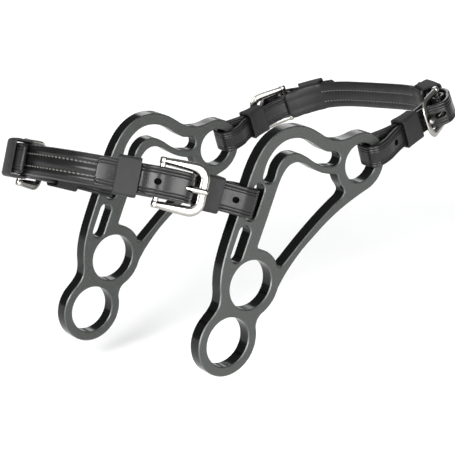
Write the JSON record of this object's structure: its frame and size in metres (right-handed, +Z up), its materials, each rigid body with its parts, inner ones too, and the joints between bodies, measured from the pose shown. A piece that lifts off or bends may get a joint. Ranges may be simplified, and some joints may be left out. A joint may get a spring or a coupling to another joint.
{
  "type": "hackamore",
  "caption": "Bitless bridle nosepiece: flat open-work metal cheek plates with rein rings, joined by a padded leather noseband and a chin strap with buckles and keepers.",
  "frame": {"origin": "midway between the two cheekpiece slots at the tops of the cheek plates", "axes": "+X to the horse's nose, +Y to its left, +Z up"},
  "size_m": [0.2608, 0.1548, 0.1576],
  "materials": {
    "plate": "satin black anodised",
    "steel": "bright plated",
    "strap": "satin black",
    "pad": "soft black lining",
    "keeper": "matt black"
  },
  "bodies": {
    "noseband": {"noseband_strap": "strap", "noseband_pad": "pad", "noseband_chape_right": "strap", "noseband_chape_left": "strap", "noseband_keeper_fixed_right": "keeper", "noseband_keeper_fixed_left": "keeper"},
    "shank_right": {"shank_right": "plate"},
    "shank_left": {"shank_left": "plate"},
    "chinstrap": {"chinstrap_strap": "strap", "chinstrap_pad": "pad", "chinstrap_chape_right": "strap", "chinstrap_chape_left": "strap", "chinstrap_keeper_fixed_right": "keeper", "chinstrap_keeper_fixed_left": "keeper"},
    "noseband_buckle_right": {"noseband_buckle_right": "steel"},
    "noseband_prong_right": {"noseband_prong_right": "steel"},
    "noseband_keeper_sliding_right": {"noseband_keeper_sliding_right": "keeper"},
    "noseband_buckle_left": {"noseband_buckle_left": "steel"},
    "noseband_prong_left": {"noseband_prong_left": "steel"},
    "noseband_keeper_sliding_left": {"noseband_keeper_sliding_left": "keeper"},
    "chinstrap_buckle_right": {"chinstrap_buckle_right": "steel"},
    "chinstrap_prong_right": {"chinstrap_prong_right": "steel"},
    "chinstrap_keeper_sliding_right": {"chinstrap_keeper_sliding_right": "keeper"},
    "chinstrap_buckle_left": {"chinstrap_buckle_left": "steel"},
    "chinstrap_prong_left": {"chinstrap_prong_left": "steel"},
    "chinstrap_keeper_sliding_left": {"chinstrap_keeper_sliding_left": "keeper"}
  },
  "joints": [
    {"name": "shank_right_swing", "type": "hinge", "parent": "noseband", "child": "shank_right", "pos_m": [0.0476, -0.0665, -0.0069], "axis": [0, 0.9859, -0.1675], "range_deg": [-8, 20]},
    {"name": "shank_left_swing", "type": "hinge", "parent": "noseband", "child": "shank_left", "pos_m": [0.0476, 0.0665, -0.0295], "axis": [0, 0.9859, -0.1675], "range_deg": [-8, 20]},
    {"name": "chinstrap_swing", "type": "hinge", "parent": "shank_right", "child": "chinstrap", "pos_m": [-0.0268, -0.0665, -0.01495], "axis": [0, 0.9859, -0.1675], "range_deg": [-6, 6]},
    {"name": "noseband_buckle_right_rock", "type": "hinge", "parent": "noseband", "child": "noseband_buckle_right", "pos_m": [0.1152, -0.06115, 0.01267], "axis": [-0.2902, 0.1584, 0.9437], "range_deg": [0, 3]},
    {"name": "noseband_prong_right_lift", "type": "hinge", "parent": "noseband_buckle_right", "child": "noseband_prong_right", "pos_m": [0.1152, -0.06115, 0.01267], "axis": [-0.2902, 0.1584, 0.9437], "range_deg": [0, 2]},
    {"name": "noseband_keeper_sliding_right_slide", "type": "slide", "parent": "noseband", "child": "noseband_keeper_sliding_right", "axis": [0.957, 0.0965, 0.2736], "range_m": [-0.002, 0]},
    {"name": "noseband_buckle_left_rock", "type": "hinge", "parent": "noseband", "child": "noseband_buckle_left", "pos_m": [0.1059, 0.06627, -0.01179], "axis": [0.2734, -0.1385, -0.9519], "range_deg": [0, 3]},
    {"name": "noseband_prong_left_lift", "type": "hinge", "parent": "noseband_buckle_left", "child": "noseband_prong_left", "pos_m": [0.1059, 0.06627, -0.01179], "axis": [0.2734, -0.1385, -0.9519], "range_deg": [0, 2]},
    {"name": "noseband_keeper_sliding_left_slide", "type": "slide", "parent": "noseband", "child": "noseband_keeper_sliding_left", "axis": [0.9527, -0.0573, 0.2984], "range_m": [-0.002, 0]},
    {"name": "chinstrap_buckle_right_rock", "type": "hinge", "parent": "chinstrap", "child": "chinstrap_buckle_right", "pos_m": [-0.08269, -0.06134, 0.00487], "axis": [-0.3668, -0.1268, -0.9216], "range_deg": [0, 3]},
    {"name": "chinstrap_prong_right_lift", "type": "hinge", "parent": "chinstrap_buckle_right", "child": "chinstrap_prong_right", "pos_m": [-0.08269, -0.06134, 0.00487], "axis": [-0.3668, -0.1268, -0.9216], "range_deg": [0, 2]},
    {"name": "chinstrap_keeper_sliding_right_slide", "type": "slide", "parent": "chinstrap", "child": "chinstrap_keeper_sliding_right", "axis": [-0.9312, 0.1468, 0.3336], "range_m": [-0.002, 0]},
    {"name": "chinstrap_buckle_left_rock", "type": "hinge", "parent": "chinstrap", "child": "chinstrap_buckle_left", "pos_m": [-0.09296, 0.05626, -0.01115], "axis": [0.3505, 0.1541, 0.9238], "range_deg": [0, 3]},
    {"name": "chinstrap_prong_left_lift", "type": "hinge", "parent": "chinstrap_buckle_left", "child": "chinstrap_prong_left", "pos_m": [-0.09296, 0.05626, -0.01115], "axis": [0.3505, 0.1541, 0.9238], "range_deg": [0, 2]},
    {"name": "chinstrap_keeper_sliding_left_slide", "type": "slide", "parent": "chinstrap", "child": "chinstrap_keeper_sliding_left", "axis": [-0.9047, -0.1911, 0.3808], "range_m": [-0.002, 0]}
  ],
  "couplings": [
    {"joint": "shank_left_swing", "follows": "shank_right_swing", "ratio": 1}
  ]
}
